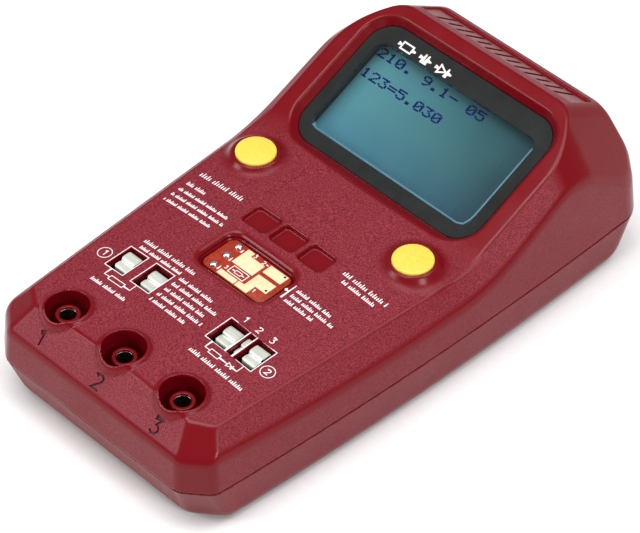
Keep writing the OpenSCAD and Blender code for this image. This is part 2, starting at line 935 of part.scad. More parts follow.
// ---------- fasteners ----------

module case_screws() color(metal) {
    screw_places(case_screws_at) {
        translate([0, 0, head_low]) cylinder(r = head_r, h = head_top - head_low);
        translate([0, 0, head_top - eps]) cylinder(r = screw_r, h = screw_h);
    }
}

module board_screws() color(metal) {
    screw_places(board_screws_at) {
        translate([0, 0, board_z - 1.5]) cylinder(r = 2.2, h = 1.5);
        translate([0, 0, board_z - eps]) cylinder(r = 0.95, h = 6);
    }
}

module lcd_screws() color(metal) {
    on_display() lcd_post_places() {
        translate([0, 0, lcd_board_w - lcd_board_t - 1.2]) cylinder(r = 1.5, h = 1.2);
        translate([0, 0, lcd_board_w - lcd_board_t - eps]) cylinder(r = 0.75, h = 4.5);
    }
}

// ---------- what is drawn ----------

top_cover();
bottom_cover();
battery_door();
display_window();
lcd_glass();
lcd_backlight();
lcd_bezel();
lcd_board();
lcd_ribbon();
main_board();
microcontroller();
crystal();
capacitor();
regulator();
ribbon_socket();
button_left();
button_right();
plunger_left();
plunger_right();
switch_left();
switch_right();
jack_tube_1();
jack_tube_2();
jack_tube_3();
jack_contact_1();
jack_contact_2();
jack_contact_3();
port1_holder();
port1_clip_1();
port1_clip_2();
port2_holder();
port2_clip_1();
port2_clip_2();
port2_clip_3();
smd_board();
smd_pins();
discharge_resistor();
battery();
battery_snap();
lead_red();
lead_black();
battery_header();
case_screws();
board_screws();
lcd_screws();
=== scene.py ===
"""The looks of the component tester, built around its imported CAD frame.

The three shells are made from signed distance fields in millimetres, meshed by
surface nets. Everything else is turned, extruded or stroked in mesh code.
"""

import math
from concurrent.futures import ThreadPoolExecutor

import bmesh
import bpy
import numpy as np
from mathutils import Matrix, Vector


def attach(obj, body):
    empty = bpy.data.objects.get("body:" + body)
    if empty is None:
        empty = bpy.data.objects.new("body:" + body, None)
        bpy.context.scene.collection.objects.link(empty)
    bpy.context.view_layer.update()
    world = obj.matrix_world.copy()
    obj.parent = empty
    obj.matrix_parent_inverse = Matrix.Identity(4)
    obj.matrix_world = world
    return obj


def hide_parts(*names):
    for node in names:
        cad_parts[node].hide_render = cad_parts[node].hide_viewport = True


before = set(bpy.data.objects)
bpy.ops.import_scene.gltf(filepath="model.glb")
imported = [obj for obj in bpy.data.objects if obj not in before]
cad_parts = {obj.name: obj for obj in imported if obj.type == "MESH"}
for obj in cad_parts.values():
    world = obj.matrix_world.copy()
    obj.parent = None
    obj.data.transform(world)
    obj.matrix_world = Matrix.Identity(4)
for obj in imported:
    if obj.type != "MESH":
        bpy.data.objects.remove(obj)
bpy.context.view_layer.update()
MM = 0.001
STEP = 0.38
SHELL_FACES = 176_000
DOOR_FACES = 60_000

# ---------- sizes shared with the CAD, in millimetres ----------

HALF_LENGTH = 72.65
SIDE_RADIUS, SIDE_CENTRE, WIDEST_Y = 1084.6, 1043.23, 44.8
CORNER_FACET = (0.6254, 0.7803)
FRONT_FLAT, REAR_FLAT = 28.8, 34.3
UPPER_LEAN = 0.0946
LOWER_LEAN, LOWER_END_LEAN = 0.0846, 0.3385
DECK_Z, DECK_Y, DECK_CROWN, DECK_FALL = 29.11, -40.0, 0.0016, 0.0095
RIM_RISE = 2.2
SPLIT = 13.0
SEAM = 0.12
WALL = 2.0
TILT = math.radians(23.8)
FACE_ORIGIN = (22.0, 27.54)
BUTTON = (26.0, 5.12)
JACK_PITCH, JACK_Y = 19.05, -61.1
PORT_Y = (-45.0, -37.1)
PORT_SLOTS = {
    "port1_clip_1": (-23.9, -18.2), "port1_clip_2": (-15.2, -9.4),
    "port2_clip_1": (9.8, 15.65), "port2_clip_2": (16.15, 17.9), "port2_clip_3": (18.4, 24.1)}
POCKETS = ((-12.7, -5.0), (-3.6, 3.9), (5.6, 12.9))
CASE_SCREWS = ((29.5, -52.0), (34.5, 60.0))
BOARD_SCREWS = ((30.0, -33.0), (30.0, -8.0))
BOARD_TOP = 18.6
SOCKET_NUMERALS = (-69.2, 24.63, 44.2)  # y, z and slope in degrees of the front chamfer's marks
REAR_BAND = (63.6, 40.6, -31.7)  # the same for the band across the rear face
CAP_RADIUS, CAP_TOP, CAP_DOME = 5.03, 30.3, 34.0

# ---------- signed distance kit ----------
# A form is (distance, polish): polish runs from 0, spark-grained, to 1, polished.


def both(a, b, k):
    """Where two forms overlap, with the edge between them rounded and polished over k."""
    gap = np.maximum(k - np.abs(a[0] - b[0]), 0)
    polish = np.where(a[0] > b[0], a[1], b[1])
    return (
        np.maximum(a[0], b[0]) + gap * gap / (4 * k),
        polish + (1 - polish) * np.minimum(1.6 * gap / k, 1))


def either(a, b, k):
    """Two forms joined, with a fillet over k in the corner between them."""
    gap = np.maximum(k - np.abs(a[0] - b[0]), 0)
    blend = np.clip(0.5 + (a[0] - b[0]) / (2 * k), 0, 1)
    return (
        np.minimum(a[0], b[0]) - gap * gap / (4 * k),
        a[1] * (1 - blend) + b[1] * blend)


def less(a, cut, k=0.2, polish=1.0):
    return both(a, (-cut, polish), k)


def plane(x, y, z, point, normal):
    n = np.array(normal) / np.linalg.norm(normal)
    return (x - point[0]) * n[0] + (y - point[1]) * n[1] + (z - point[2]) * n[2]


def slab(v, low, high):
    return np.abs(v - (low + high) / 2) - (high - low) / 2


def plate(x, y, half_x, low_y, high_y, radius):
    """Distance to a rounded rectangle centred on x."""
    qx = np.abs(x) - half_x + radius
    qy = slab(y, low_y, high_y) + radius
    return np.hypot(np.maximum(qx, 0), np.maximum(qy, 0)) + np.minimum(np.maximum(qx, qy), 0) - radius


def face_frame(y, z):
    """Place up the display's slope, and height above its window."""
    dy, dz = y - FACE_ORIGIN[0], z - FACE_ORIGIN[1]
    return dy * math.cos(TILT) + dz * math.sin(TILT), -dy * math.sin(TILT) + dz * math.cos(TILT)


def walls(x, y, rise, side_lean, end_lean):
    """Bowed sides, flat ends and four corner facets, all leaning inwards with rise."""
    side = np.hypot(x + SIDE_CENTRE, y - WIDEST_Y) - SIDE_RADIUS
    side = (side + side_lean * rise) / math.hypot(1, side_lean)
    c = 1 / math.hypot(1, end_lean)
    form = (side, 0.45)
    for flat, sign, soft in ((FRONT_FLAT, -1, 1.3), (REAR_FLAT, 1, 2.8)):
        end = sign * y - HALF_LENGTH
        facet = (CORNER_FACET[0] * (x - flat) + CORNER_FACET[1] * end + end_lean * rise) * c
        form = both(form, (facet, 0.9), soft)
        form = both(form, ((end + end_lean * rise) * c, 0.35), 1.0)
    return form


def upper_walls(x, y, z):
    return walls(x, y, z - SPLIT, UPPER_LEAN, UPPER_LEAN)


def roof(x, y, z):
    """Crowned deck with its chamfers, running up into the sloping head."""
    deck = (z - DECK_Z + DECK_CROWN * x * x + DECK_FALL * (y - DECK_Y), 0.0)
    deck = both(deck, (plane(x, y, z, (39.66, 0, 21.24), (0.7564, -0.0405, 0.6529)), 0.2), 0.5)
    deck = both(deck, (plane(x, y, z, (0, -71.8, 22.1), (0, -0.697, 0.717)), 0.1), 0.5)
    deck = both(deck, (plane(x, y, z, (27.9, -63.65, 28.1), (0.418, -0.521, 0.744)), 1.0), 0.55)
    deck = (np.maximum(deck[0], y - 30), deck[1])
    out = face_frame(y, z)[1]
    strip = (plane(x, y, z, (35, 30, 33.5), (0.715, -0.282, 0.640)), 0.05)
    rear = (plane(x, y, z, (31.5, 50.8, 42.7), (0.708, 0.375, 0.598)), 1.0)
    back = (plane(x, y, z, (0, 56.3, 45.1), (0, 0.525, 0.851)), 0.2)
    sides = both(both(strip, rear, 4.5), back, 2.4)
    head = both((out - RIM_RISE, 1.0), sides, 0.5)
    return either(deck, head, 2.2)


def case_top(x, y, z):
    return both(upper_walls(x, y, z), roof(x, y, z), 1.2)


def top_cover(x, y, z):
    ax = np.abs(x)
    outer = case_top(ax, y, z)
    up, out = face_frame(y, z)
    button = np.hypot(ax - BUTTON[0], y - BUTTON[1])
    jack = np.hypot(x - JACK_PITCH * np.clip(np.round(x / JACK_PITCH), -1, 1), y - JACK_Y)

    # stock inside the shell for the details cut from it
    solid = np.maximum(outer[0], -(outer[0] + WALL))
    stock = np.maximum(np.maximum(ax - 31.8, slab(up, -8.3, 36.2)), -3.7 - out)
    for post in (-6.5, 34.0):
        stock = np.minimum(stock, np.maximum(np.hypot(ax - 27.5, up - post) - 1.7, -7.2 - out))
    stock = np.minimum(stock, np.maximum(np.maximum(ax - 12, slab(y, -30.5, -15.4)), 24.8 - z))
    stock = np.minimum(stock, np.maximum(np.maximum(ax - 14.3, slab(y, -13.7, -5.3)), 25.8 - z))
    stock = np.minimum(stock, np.maximum(jack - 6.12, 19.4 - z))
    stock = np.minimum(stock, np.maximum(button - 6.6, 24.05 - z))
    for places, radius, low in ((CASE_SCREWS, 3.25, 13.1), (BOARD_SCREWS, 2.75, BOARD_TOP)):
        for px, py in places:
            boss = np.maximum(np.hypot(ax - px, y - py) - radius, low - z)
            stock = np.minimum(stock, boss)
    form = (np.minimum(solid, np.maximum(stock, outer[0] + 1)), outer[1])

    # collars round the buttons and shrouds round the sockets
    cone = ((button - 8.55 + (z - 26.4) * 0.8485) * 0.7625, 1.0)
    collar = both(cone, (z - 29.7, 1.0), 0.6)
    form = either(form, (np.maximum(collar[0], 26.4 - z), 1.0), 1.3)
    shroud = both((outer[0] - 0.9, 1.0), (jack - 6.12, 1.0), 0.8)
    form = either(form, (np.maximum(shroud[0], 22 - z), 1.0), 0.9)

    # window recess, its seat and the opening over the display
    edge = plate(x, up, 29.3, -3.7, 33.6, 7.0)
    form = less(form, np.maximum((edge - 0.68 * np.maximum(out, 0)) * 0.83, -1.5 - out), 0.35)
    form = less(form, np.maximum(plate(x, up, 27.3, -1.7, 31.6, 5.0), out - 1))

    form = less(form, button - 5.23, 0.35)
    form = less(form, jack - 5.15, 0.5)
    for low, high in PORT_SLOTS.values():
        slot = np.maximum(np.maximum(slab(x, low, high), slab(y, *PORT_Y)), 20 - z)
        form = less(form, slot, 0.2)
    recess = plate(x, y, 10.4, -28.9, -17.0, 2.6) - 0.33 * np.maximum(z - 26.5, 0)
    form = less(form, np.maximum(recess * 0.95, 26.3 - z), 1.5)
    for low, high in POCKETS:
        dent = plate(x - (low + high) / 2, y, (high - low) / 2 + 0.05, -12.6, -6.4, 1.2)
        dent = dent - 0.25 * (z - 28.4)
        form = less(form, both((dent * 0.97, 1), (27.4 - z, 1), 0.4)[0], 0.6)

    # recessed band across the rear face
    dy, dz = y - REAR_BAND[0], z - REAR_BAND[1]
    c, s = math.cos(math.radians(-REAR_BAND[2])), math.sin(math.radians(-REAR_BAND[2]))
    band = np.maximum(plate(x, dy * c - dz * s, 24.5, -4.6, 4.6, 0.8), -0.6 - (dy * s + dz * c))
    form = less(form, band, 0.25, 0.9)

    for px, py in CASE_SCREWS:
        form = less(form, np.maximum(np.hypot(ax - px, y - py) - 1.5, z - 21))
    lap = np.maximum(np.maximum(outer[0] + 0.95, -(outer[0] + 2.1)), z - 15)
    form = less(form, lap)
    return both(form, (SPLIT + SEAM - z, 1.0), 0.3)


def case_bottom(x, y, z):
    return both(walls(x, y, SPLIT - z, LOWER_LEAN, LOWER_END_LEAN), (-z, 0.2), 4.2)


def bottom_cover(x, y, z):
    ax = np.abs(x)
    outer = case_bottom(ax, y, z)
    above = upper_walls(ax, y, z)[0]
    form = (np.maximum(outer[0], -(outer[0] + WALL)), outer[1])
    form = both(form, (z - SPLIT + SEAM, 1.0), 0.3)
    lip = np.maximum(np.maximum(above + 1.05, -(above + WALL)), slab(z, 12, 14.8))
    solid = np.minimum(form[0], lip)
    for px, py in CASE_SCREWS:
        boss = np.maximum(np.hypot(ax - px, y - py) - 4, z - SPLIT)
        solid = np.minimum(solid, np.maximum(boss, outer[0] + 1))

    # battery box with its open front corner, its notch for the leads and its rear shelf
    box = np.maximum(np.maximum(ax - 29.8, slab(y, 32.3, 67.8)), slab(z, 1.5, 21.4))
    room = np.maximum(np.maximum(ax - 28.3, slab(y, 33.8, 66.3)), z - 20.2)
    mouth = np.maximum(np.maximum(ax - 27.8, 33.8 - y), z - 9.4)
    notch = np.maximum(np.maximum(slab(x, -27.4, -22.5), slab(y, 30.8, 34.8)), slab(z, 6, 16))
    box = np.maximum(box, -np.minimum(np.minimum(room, mouth), notch))
    shelf = np.maximum(np.maximum(ax - 29.8, slab(y, 66.3, 69.8)), slab(z, 9.4, 10.6))
    solid = np.minimum(solid, np.minimum(box, shelf))
    for px, py in ((12, -55), (14, 6)):
        post = np.maximum(np.hypot(ax - px, y - py) - 2.5, slab(z, 1, 16.95))
        solid = np.minimum(solid, post)

    form = (solid, form[1])
    for px, py in CASE_SCREWS:
        hole = np.hypot(ax - px, y - py)
        form = less(form, np.minimum(np.maximum(hole - 2.95, z - 7), np.maximum(hole - 1.7, z - 19)), 0.3)
    door = np.maximum(np.maximum(ax - 28.0, 34.0 - y), z - 9.2)
    rails = np.maximum(np.maximum(ax - 29.0, 35.8 - y), slab(z, 0.65, 1.75))
    return less(less(form, door, 0.35), rails, 0.1)


def battery_door(x, y, z):
    ax = np.abs(x)
    outer = case_bottom(ax, y, z)
    form = (np.maximum(outer[0], -(outer[0] + WALL)), outer[1])
    block = (np.maximum(np.maximum(ax - 27.8, 34.2 - y), z - 9), 1.0)
    form = both(form, block, 0.4)
    rails = np.maximum(np.maximum(ax - 28.8, slab(y, 36.2, 62)), slab(z, 0.8, 1.6))
    form = (np.minimum(form[0], rails), form[1])
    for i in range(5):
        groove = np.maximum(slab(y, 44 + 2.4 * i, 45.1 + 2.4 * i), z - 0.6)
        form = less(form, np.maximum(groove, ax - 9), 0.3)
    return form


def slope(field, p, e=0.02):
    """Unit outward direction of a field at points in millimetres, and its slope there."""
    g = np.empty_like(p)
    for i in range(3):
        d = np.zeros(3)
        d[i] = e
        g[:, i] = (field(*(p + d).T)[0] - field(*(p - d).T)[0]) / (2 * e)
    size = np.maximum(np.linalg.norm(g, axis=1, keepdims=True), 1e-6)
    return g / size, size


def surface_net(field, low, high, step):
    """Points and quads on a field's zero surface."""
    axes = [np.arange(a, b + step, step) + 0.0137 for a, b in zip(low, high)]
    x, y, z = (a.astype(np.float32) for a in axes)
    value = np.empty((len(x), len(y), len(z)), np.float32)

    def fill(rows):
        value[:, rows] = field(x[:, None, None], y[None, rows, None], z[None, None, :])[0]

    with ThreadPoolExecutor(4) as pool:
        list(pool.map(fill, np.array_split(np.arange(len(y)), 24)))
    inside = value < 0
    corner = np.array([(i, j, k) for i in (0, 1) for j in (0, 1) for k in (0, 1)])
    count = np.zeros([n - 1 for n in value.shape], np.int8)
    for i, j, k in corner:
        count += inside[i:i + count.shape[0], j:j + count.shape[1], k:k + count.shape[2]]
    cells = np.argwhere((count > 0) & (count < 8))
    number = np.full(count.shape, -1, np.int32)
    number[tuple(cells.T)] = np.arange(len(cells))
    at = cells[:, None, :] + corner[None]
    v = value[at[..., 0], at[..., 1], at[..., 2]].astype(float)
    place, hits = np.zeros((len(cells), 3)), np.zeros(len(cells))
    for a in range(8):
        for b in range(a + 1, 8):
            if np.abs(corner[a] - corner[b]).sum() != 1:
                continue
            crosses = (v[:, a] < 0) != (v[:, b] < 0)
            t = np.where(crosses, v[:, a] / np.where(crosses, v[:, a] - v[:, b], 1), 0)
            place += crosses[:, None] * (corner[a] + t[:, None] * (corner[b] - corner[a]))
            hits += crosses
    points = (cells + place / hits[:, None]) * step + [a[0] for a in axes]
    quads = []
    for axis in range(3):
        u, w = (axis + 1) % 3, (axis + 2) % 3
        near = np.moveaxis(inside, (axis, u, w), (0, 1, 2))
        ids = np.moveaxis(number, (axis, u, w), (0, 1, 2))
        flip = near[:-1, 1:-1, 1:-1] != near[1:, 1:-1, 1:-1]
        i, j, k = np.argwhere(flip).T
        ring = np.stack([ids[i, j, k], ids[i, j + 1, k], ids[i, j + 1, k + 1], ids[i, j, k + 1]], 1)
        out = near[i, j + 1, k + 1]
        quads.append(np.where(out[:, None], ring, ring[:, ::-1]))
    return points, np.concatenate(quads)


def mesh_of(name, points, faces):
    """A Blender mesh from millimetre points."""
    mesh = bpy.data.meshes.new(name)
    mesh.from_pydata((np.asarray(points, float) * MM).tolist(), [], np.asarray(faces).tolist())
    mesh.update()
    return mesh


def object_of(name, mesh):
    ob = bpy.data.objects.new(name, mesh)
    bpy.context.scene.collection.objects.link(ob)
    return ob


def applied(ob):
    """The object's mesh with its modifiers applied, and the modifiers gone."""
    mesh = bpy.data.meshes.new_from_object(ob.evaluated_get(bpy.context.evaluated_depsgraph_get()))
    ob.modifiers.clear()
    old, ob.data = ob.data, mesh
    bpy.data.meshes.remove(old)
    return ob


def shell_piece(name, field, low, high, step, faces, cutters=()):
    """A field's surface as an object: projected, thinned, engraved, with its own normals."""
    points, quads = surface_net(field, low, high, step)
    for _ in range(3):
        out, size = slope(field, points)
        points = points - out * np.clip(field(*points.T)[0][:, None] / size, -step / 3, step / 3)
    ob = object_of(name, mesh_of(name, points, quads))
    if 2 * len(quads) > faces:
        thin = ob.modifiers.new("thin", "DECIMATE")
        thin.ratio = faces / (2 * len(quads))
        applied(ob)
    for cutter in cutters:
        cut = ob.modifiers.new("engrave", "BOOLEAN")
        cut.operation, cut.object, cut.solver = "DIFFERENCE", cutter, "MANIFOLD"
        applied(ob)
    for cutter in cutters:
        bpy.data.objects.remove(cutter)
    mesh = ob.data
    flat = np.empty(3 * len(mesh.vertices), np.float32)
    mesh.vertices.foreach_get("co", flat)
    points = flat.reshape(-1, 3).astype(float) / MM
    out, _ = slope(field, points, 0.05)
    distance, polish = field(*points.T)
    polish = np.broadcast_to(polish, distance.shape)
    # the engraved mask marks the cut marks, which the case material darkens as painted shade
    for label, values in (("polish", polish), ("engraved", distance < -0.12)):
        layer = mesh.attributes.new(label, "FLOAT", "POINT")
        layer.data.foreach_set("value", values.astype(np.float32))
    corner = np.empty(len(mesh.loops), np.int32)
    mesh.loops.foreach_get("vertex_index", corner)
    sides = np.empty(len(mesh.polygons), np.int32)
    mesh.polygons.foreach_get("loop_total", sides)
    facing = np.empty(3 * len(mesh.polygons), np.float32)
    mesh.polygons.foreach_get("normal", facing)
    facing = np.repeat(facing.reshape(-1, 3), sides, axis=0)
    fits = (np.sum(facing * out[corner], axis=1) > 0.7) & (np.abs(distance[corner]) < 0.08)
    mesh.polygons.foreach_set("use_smooth", np.ones(len(sides), bool))
    mesh.normals_split_custom_set(np.where(fits[:, None], out[corner], facing).tolist())
    return ob

# ---------- materials ----------


def shader_graph(name):
    material = bpy.data.materials.new(name)
    material.use_nodes = True
    tree = material.node_tree
    coords = tree.nodes.new("ShaderNodeTexCoord").outputs["Object"]
    return material, tree, tree.nodes["Principled BSDF"], coords


def noise_node(tree, coords, size, detail=2.0, stretch=(1, 1, 1)):
    """Noise whose patches are about size millimetres across."""
    scale = tree.nodes.new("ShaderNodeMapping")
    scale.inputs["Scale"].default_value = stretch
    tree.links.new(coords, scale.inputs["Vector"])
    noise = tree.nodes.new("ShaderNodeTexNoise")
    noise.inputs["Scale"].default_value = 1000 / size
    noise.inputs["Detail"].default_value = detail
    tree.links.new(scale.outputs["Vector"], noise.inputs["Vector"])
    return noise.outputs["Fac"]


def colour_mix(tree, factor, a, b):
    mix = tree.nodes.new("ShaderNodeMix")
    mix.data_type = "RGBA"
    tree.links.new(factor, mix.inputs["Factor"])
    for socket, value in ((mix.inputs[6], a), (mix.inputs[7], b)):
        if isinstance(value, tuple):
            socket.default_value = (*value, 1)
        else:
            tree.links.new(value, socket)
    return mix.outputs[2]


def ranged(tree, value, low, high, start=0.3, end=0.7):
    node = tree.nodes.new("ShaderNodeMapRange")
    node.inputs["From Min"].default_value, node.inputs["From Max"].default_value = start, end
    node.inputs["To Min"].default_value, node.inputs["To Max"].default_value = low, high
    tree.links.new(value, node.inputs["Value"])
    return node.outputs["Result"]


def bumped(tree, shader, height, depth):
    bump = tree.nodes.new("ShaderNodeBump")
    bump.inputs["Distance"].default_value = depth * MM
    tree.links.new(height, bump.inputs["Height"])
    tree.links.new(bump.outputs["Normal"], shader.inputs["Normal"])
    return bump


def surface(name, dark, light, grain, rough, bump=0.02, stretch=(1, 1, 1), **sockets):
    """A fine grain in colour and relief, over wider patches of wear in the roughness."""
    material, tree, shader, coords = shader_graph(name)
    fine = noise_node(tree, coords, grain, 3, stretch)
    wide = noise_node(tree, coords, grain * 14, 2, stretch)
    tree.links.new(colour_mix(tree, ranged(tree, fine, 0, 1), dark, light), shader.inputs["Base Color"])
    tree.links.new(ranged(tree, wide, *rough), shader.inputs["Roughness"])
    bumped(tree, shader, fine, bump)
    for socket, value in sockets.items():
        shader.inputs[socket.replace("_", " ")].default_value = value
    return material


def case_plastic():
    """Red plastic, spark-grained where its polish is 0 and glossy where it is 1, its grained parts paler and
    pinker partly as painted sheen.
    """
    material, tree, shader, coords = shader_graph("case_red")
    polish = tree.nodes.new("ShaderNodeAttribute")
    polish.attribute_name = "polish"
    polish = polish.outputs["Fac"]
    grain = noise_node(tree, coords, 0.34, 2)
    wear = noise_node(tree, coords, 11, 3)
    # painted sheen: the light pink speckles and paler tone of the grained finish stand partly for light its
    # rough surface scatters, partly for the grain's own tone
    speckle = ranged(tree, grain, 0, 1, 0.36, 0.68)
    sparks_and_sheen = colour_mix(tree, speckle, (0.105, 0.004, 0.010), (0.27, 0.030, 0.044))
    base = colour_mix(tree, polish, sparks_and_sheen, (0.148, 0.0015, 0.005))
    # painted shade: engraved numerals and notches are darkened to stand in for the shade in their grooves
    cut = tree.nodes.new("ShaderNodeAttribute")
    cut.attribute_name = "engraved"
    base = colour_mix(tree, cut.outputs["Fac"], base, (0.05, 0.002, 0.005))
    tree.links.new(base, shader.inputs["Base Color"])
    rough = tree.nodes.new("ShaderNodeMix")
    tree.links.new(polish, rough.inputs["Factor"])
    tree.links.new(ranged(tree, wear, 0.48, 0.58), rough.inputs[2])
    tree.links.new(ranged(tree, wear, 0.20, 0.30), rough.inputs[3])
    tree.links.new(rough.outputs[0], shader.inputs["Roughness"])
    shader.inputs["Specular IOR Level"].default_value = 0.22
    bump = bumped(tree, shader, grain, 0.12)
    tree.links.new(ranged(tree, polish, 0.8, 0.03, 0, 0.9), bump.inputs["Strength"])
    return material


def display_glow():
    """Backlit liquid crystal: teal, paler to the left and bluer at its lower edge."""
    material, tree, shader, coords = shader_graph("liquid_crystal")
    parts = tree.nodes.new("ShaderNodeSeparateXYZ")
    tree.links.new(coords, parts.inputs["Vector"])
    across = ranged(tree, parts.outputs["X"], 0, 1, -0.028, 0.022)
    along = ranged(tree, parts.outputs["Y"], 1, 0, 0.020, 0.036)
    cloud = noise_node(tree, coords, 16, 1)
    teal = colour_mix(tree, across, (0.085, 0.25, 0.29), (0.018, 0.055, 0.068))
    blue = colour_mix(tree, across, (0.06, 0.19, 0.29), (0.016, 0.055, 0.095))
    tone = colour_mix(tree, along, teal, blue)
    tone = colour_mix(tree, ranged(tree, cloud, 0, 0.12), tone, (0.10, 0.27, 0.29))
    tree.links.new(tone, shader.inputs["Base Color"])
    tree.links.new(tone, shader.inputs["Emission Color"])
    shader.inputs["Emission Strength"].default_value = 0.14
    shader.inputs["Specular IOR Level"].default_value = 0.05
    tree.links.new(ranged(tree, cloud, 0.3, 0.45), shader.inputs["Roughness"])
    bumped(tree, shader, noise_node(tree, coords, 0.3), 0.01)
    return material


def clear_pane():
    """Clear plastic: see-through, with a thin reflection."""
    material, tree, shader, coords = shader_graph("clear_pane")
    tree.nodes.remove(shader)
    output = tree.nodes["Material Output"]
    through = tree.nodes.new("ShaderNodeBsdfTransparent")
    through.inputs["Color"].default_value = (0.93, 0.95, 0.95, 1)
    gloss = tree.nodes.new("ShaderNodeBsdfGlossy")
    tree.links.new(ranged(tree, noise_node(tree, coords, 6), 0.04, 0.12), gloss.inputs["Roughness"])
    mix = tree.nodes.new("ShaderNodeMixShader")
    mix.inputs["Fac"].default_value = 0.025
    tree.links.new(through.outputs["BSDF"], mix.inputs[1])
    tree.links.new(gloss.outputs["BSDF"], mix.inputs[2])
    tree.links.new(mix.outputs["Shader"], output.inputs["Surface"])
    return material


def make_materials():
    steel = {"Metallic": 1.0}
    return {
        "shell": case_plastic(),
        "lcd": display_glow(),
        "pane": clear_pane(),
        "cap": surface("cap_yellow", (0.78, 0.51, 0.06), (0.84, 0.57, 0.08), 0.8, (0.30, 0.42), 0.01,
                       Subsurface_Weight=0.15, Subsurface_Scale=0.002),
        "window": surface("window_black", (0.010, 0.012, 0.011), (0.016, 0.018, 0.017), 5,
                          (0.09, 0.16), 0.002),
        "diffuser": surface("diffuser", (0.55, 0.68, 0.74), (0.75, 0.86, 0.9), 2, (0.4, 0.5)),
        # painted highlight for the pane's bevelled edges where they catch the backlight
        "painted_edge_glint": surface("painted_edge_glint", (0.035, 0.12, 0.17), (0.06, 0.17, 0.23), 3, (0.35, 0.45), 0.005),
        "lcd_ink": surface("lcd_ink", (0.0006, 0.006, 0.09), (0.001, 0.012, 0.14), 0.6, (0.4, 0.5), 0.005,
                           Specular_IOR_Level=0.05),
        "ink": surface("ink_white", (0.72, 0.62, 0.62), (0.92, 0.86, 0.85), 0.5, (0.45, 0.6), 0.01),
        "bezel_steel": surface("bezel_black", (0.02, 0.02, 0.022), (0.04, 0.04, 0.045), 0.6, (0.4, 0.55)),
        "board": surface("board_green", (0.012, 0.09, 0.03), (0.02, 0.15, 0.05), 1.2, (0.3, 0.42), 0.02),
        "smd_red": surface("board_red", (0.23, 0.014, 0.005), (0.35, 0.035, 0.010), 0.9, (0.25, 0.38), 0.02),
        "pad": surface("pad_gold", (0.66, 0.52, 0.30), (0.80, 0.66, 0.42), 0.5, (0.35, 0.5), 0.02),
        "chip": surface("chip_black", (0.012, 0.012, 0.013), (0.03, 0.03, 0.032), 0.4, (0.5, 0.65), 0.02),
        "tin": surface("tin", (0.62, 0.62, 0.60), (0.86, 0.86, 0.84), 0.7, (0.16, 0.32), 0.03, **steel),
        "clip": surface("clip_steel", (0.62, 0.64, 0.57), (0.74, 0.76, 0.69), 0.5, (0.38, 0.5), 0.008,
                        (0.12, 1, 1), Metallic=0.55),
        # nickel plating, its colour darkened as painted shade for the dim bore it sits in
        "contact": surface("nickel_in_painted_shade", (0.26, 0.20, 0.18), (0.46, 0.38, 0.34), 0.5, (0.2, 0.34),
                           0.01, (1, 1, 0.1), **steel),
        "screw": surface("screw_zinc", (0.42, 0.43, 0.45), (0.62, 0.63, 0.65), 0.4, (0.3, 0.45),
                         0.02, **steel),
        "sleeve_blue": surface("sleeve_blue", (0.02, 0.05, 0.18), (0.04, 0.08, 0.26), 1, (0.3, 0.4)),
        "resistor": surface("resistor_blue", (0.22, 0.34, 0.40), (0.32, 0.46, 0.52), 0.8, (0.4, 0.5)),
        "black_plastic": surface("black_plastic", (0.012, 0.012, 0.012), (0.03, 0.03, 0.03), 0.5,
                                 (0.45, 0.6)),
        "white_plastic": surface("white_plastic", (0.62, 0.61, 0.56), (0.78, 0.77, 0.72), 0.8, (0.4, 0.5)),
        "film": surface("film", (0.62, 0.6, 0.5), (0.8, 0.78, 0.68), 1.5, (0.25, 0.4), 0.01),
        "battery_can": surface("battery_sleeve", (0.02, 0.02, 0.03), (0.05, 0.05, 0.07), 3,
                               (0.2, 0.35), 0.01),
        "wire_red": surface("wire_red", (0.42, 0.01, 0.01), (0.6, 0.03, 0.02), 0.8, (0.35, 0.5)),
        "wire_black": surface("wire_black", (0.01, 0.01, 0.01), (0.03, 0.03, 0.03), 0.8, (0.35, 0.5))}


# ---------- mesh kit ----------

ON_FACE = Matrix.Translation((0, *FACE_ORIGIN)) @ Matrix.Rotation(TILT, 4, "X")


def piece(ob, body, nodes, material):
    """Places a finished object: its body, the CAD nodes it stands for and material."""
    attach(ob, body)
    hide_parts(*nodes)
    ob.data.materials.clear()
    ob.data.materials.append(material)
    return ob


def shaded(ob, angle=35):
    """Smooth faces, with edges sharper than the angle kept crisp."""
    ob.data.polygons.foreach_set("use_smooth", [True] * len(ob.data.polygons))
    ob.data.set_sharp_from_angle(angle=math.radians(angle))
    return ob


def softened(points, radii, steps=5):
    """An open outline with each inner corner turned into an arc of its radius."""
    made = [Vector(points[0])]
    for before, corner, after, radius in zip(points, points[1:], points[2:], radii):
        corner = Vector(corner)
        a, b = (Vector(before) - corner).normalized(), (Vector(after) - corner).normalized()
        half = a.angle(b) / 2
        if radius <= 0:
            made.append(corner)
            continue
        reach = radius / math.tan(half)
        centre = corner + (a + b).normalized() * (radius / math.sin(half))
        first, last = corner + a * reach - centre, corner + b * reach - centre
        turn = math.pi - 2 * half
        for i in range(steps + 1):
            t = i / steps
            spoke = first * math.sin((1 - t) * turn) + last * math.sin(t * turn)
            made.append(centre + spoke / math.sin(turn))
    made.append(Vector(points[-1]))
    return [(p[0], p[1]) for p in made]


